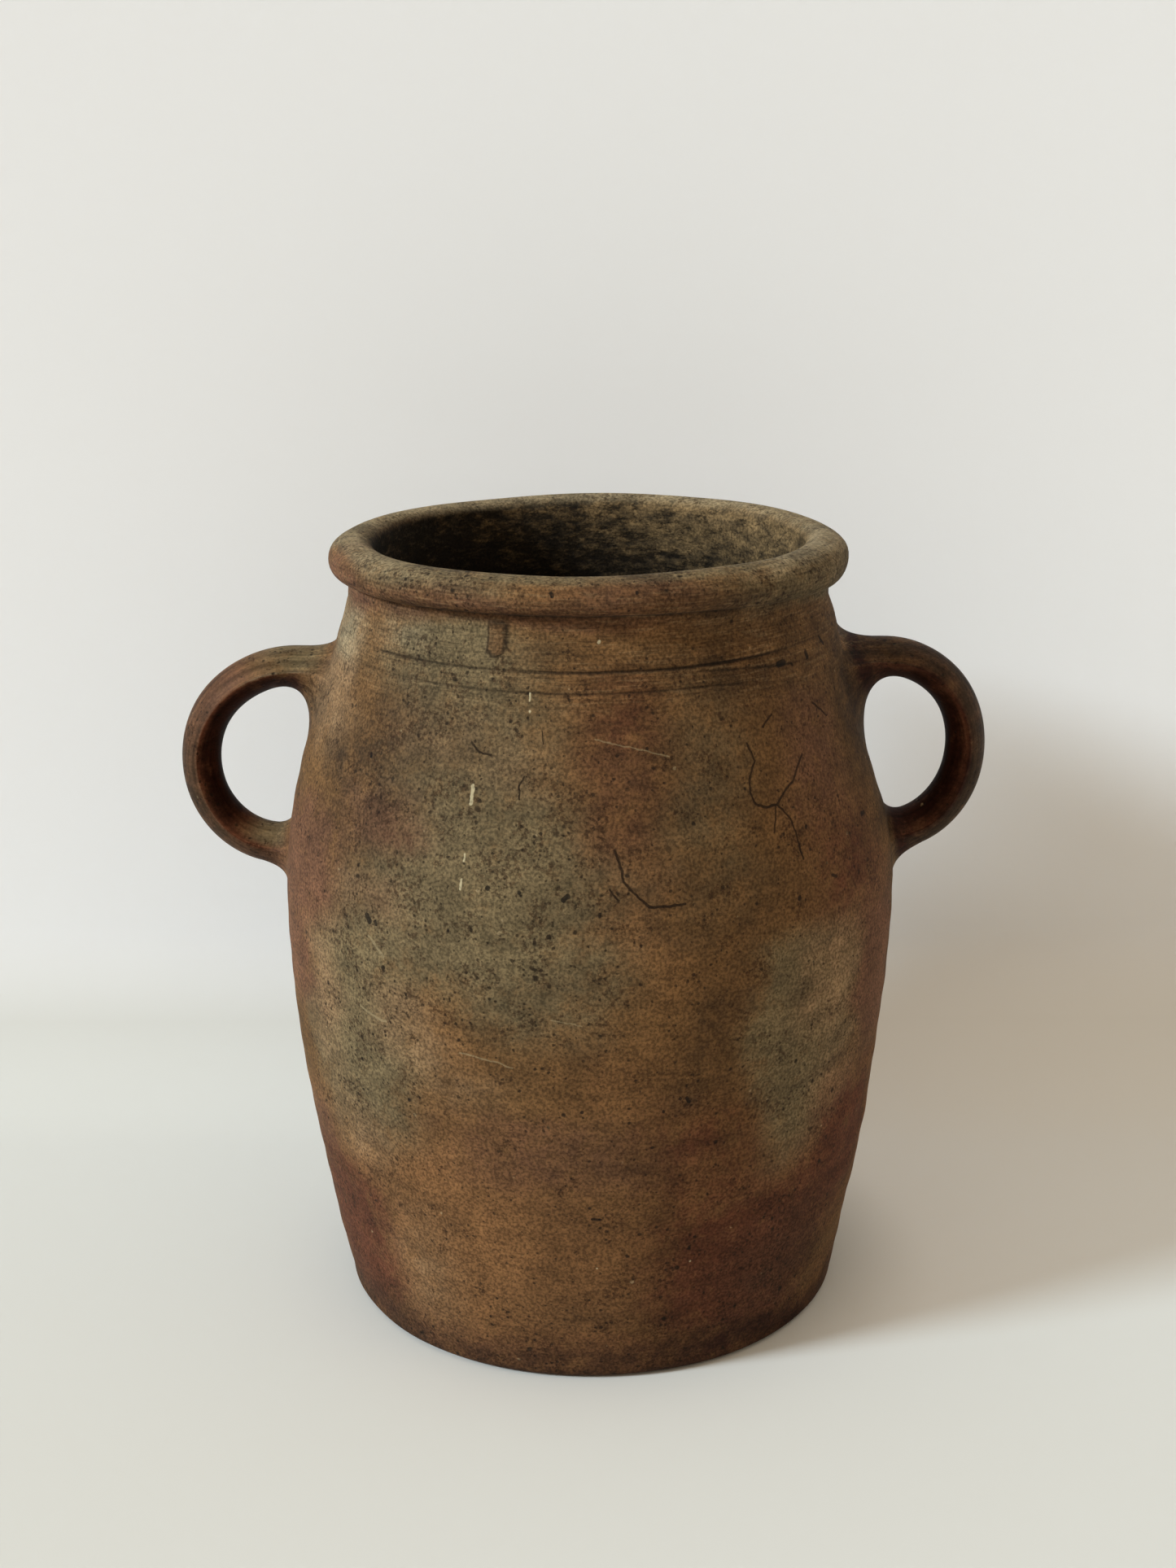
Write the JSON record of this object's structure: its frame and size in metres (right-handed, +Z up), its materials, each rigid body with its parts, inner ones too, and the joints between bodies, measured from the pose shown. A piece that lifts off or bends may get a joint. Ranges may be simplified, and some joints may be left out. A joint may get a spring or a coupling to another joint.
{
  "type": "two-handled storage pot",
  "caption": "Tall barrel-shaped unglazed stoneware storage pot with a rolled rim, tool lines on the shoulder and a looped strap handle on each side.",
  "frame": {"origin": "centre of the flat base, on the surface that the pot stands on", "axes": "+Z up along the pot's axis; +X towards the right handle and -X towards the left one; -Y is the front"},
  "size_m": [0.2471, 0.1874, 0.24],
  "materials": {
    "stoneware_wall": "matte, unglazed, flame-marked",
    "stoneware_handle": "dull satin, worn by handling",
    "stoneware_lute": "matte, thumbed smooth"
  },
  "bodies": {
    "root": {"thrown_body": "stoneware_wall", "left_handle": "stoneware_handle", "right_handle": "stoneware_handle", "left_upper_lute": "stoneware_lute", "left_lower_lute": "stoneware_lute", "right_upper_lute": "stoneware_lute", "right_lower_lute": "stoneware_lute"}
  },
  "joints": []
}
